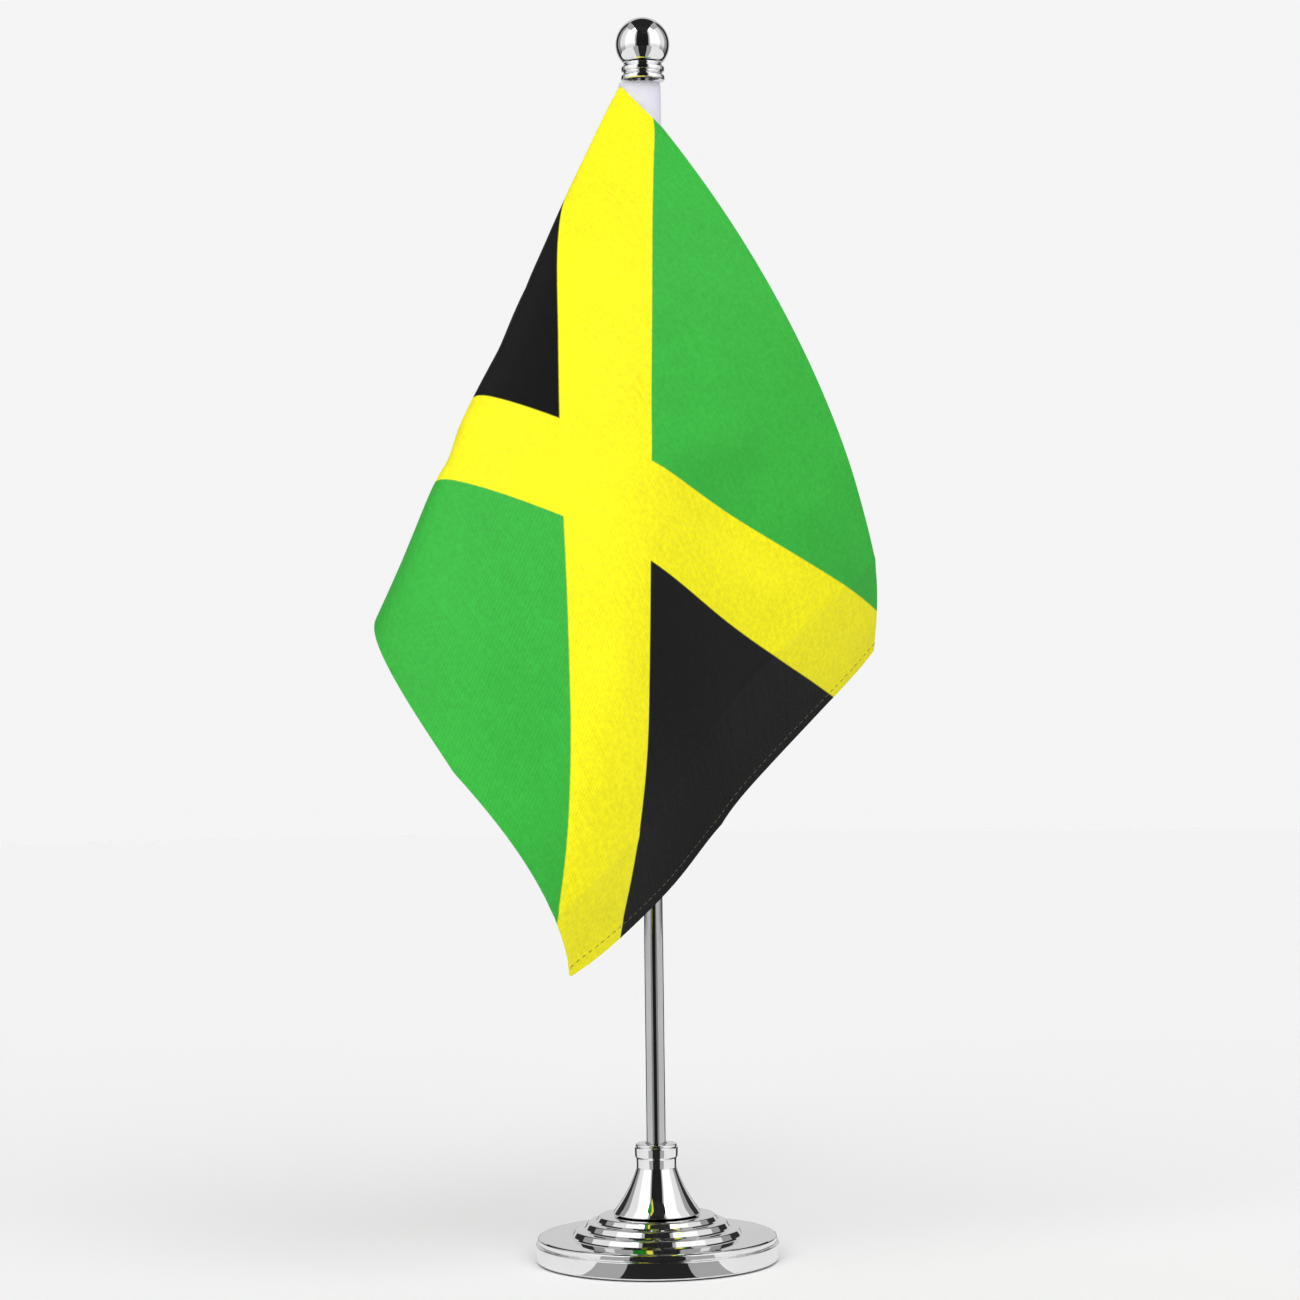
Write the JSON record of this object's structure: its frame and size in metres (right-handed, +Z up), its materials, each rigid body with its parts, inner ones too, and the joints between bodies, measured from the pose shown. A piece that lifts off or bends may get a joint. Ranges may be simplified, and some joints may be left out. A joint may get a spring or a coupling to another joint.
{
  "type": "desk flag stand",
  "caption": "Desk flag stand with a weighted round base, stepped cone socket, screw-in pole, ball finial and a small rectangular cloth flag hanging from a sleeve.",
  "frame": {"origin": "centre of the base's underside, on the pole's axis", "axes": "+Z up along the pole, -Y towards the front, from where the flag is seen spread, +X to that view's right"},
  "size_m": [0.1417, 0.1141, 0.359],
  "materials": {
    "chrome_plate": "mirror",
    "ballast_iron": "as cast",
    "zinc_steel": "zinc plated",
    "insert_brass": "turned",
    "felt_pad": "felt",
    "flag_satin": "printed satin",
    "sleeve_cloth": "plain weave"
  },
  "bodies": {
    "base": {"base_pad": "felt_pad", "base_cover": "chrome_plate", "base_ballast": "ballast_iron", "clamp_bolt": "zinc_steel", "lock_washer": "zinc_steel", "flat_washer": "zinc_steel", "cone_socket": "chrome_plate"},
    "pole_foot": {"pole_stud": "zinc_steel"},
    "pole": {"pole_tube": "chrome_plate", "pole_insert": "insert_brass"},
    "finial_screw": {"finial_stud": "zinc_steel"},
    "finial": {"finial_skirt": "chrome_plate", "finial_ball": "chrome_plate"},
    "flag": {"flag_sleeve": "sleeve_cloth", "flag_sheet": "flag_satin"}
  },
  "joints": [
    {"name": "pole_lift", "type": "slide", "parent": "base", "child": "pole_foot", "axis": [0, 0, 1], "range_m": [0, 0.0053]},
    {"name": "pole_turn", "type": "hinge", "parent": "pole_foot", "child": "pole", "pos_m": [0, 0, 0.03], "axis": [0, 0, 1], "range_deg": [0, 2730]},
    {"name": "finial_lift", "type": "slide", "parent": "pole", "child": "finial_screw", "axis": [0, 0, 1], "range_m": [0, 0.0058]},
    {"name": "finial_turn", "type": "hinge", "parent": "finial_screw", "child": "finial", "pos_m": [0, 0, 0.342], "axis": [0, 0, 1], "range_deg": [0, 4180]},
    {"name": "flag_swivel", "type": "hinge", "parent": "pole", "child": "flag", "pos_m": [0, 0, 0.262], "axis": [0, 0, 1], "continuous": true}
  ],
  "couplings": [
    {"joint": "pole_turn", "follows": "pole_lift", "rad_per_m": 8976},
    {"joint": "finial_turn", "follows": "finial_lift", "rad_per_m": 12566}
  ]
}
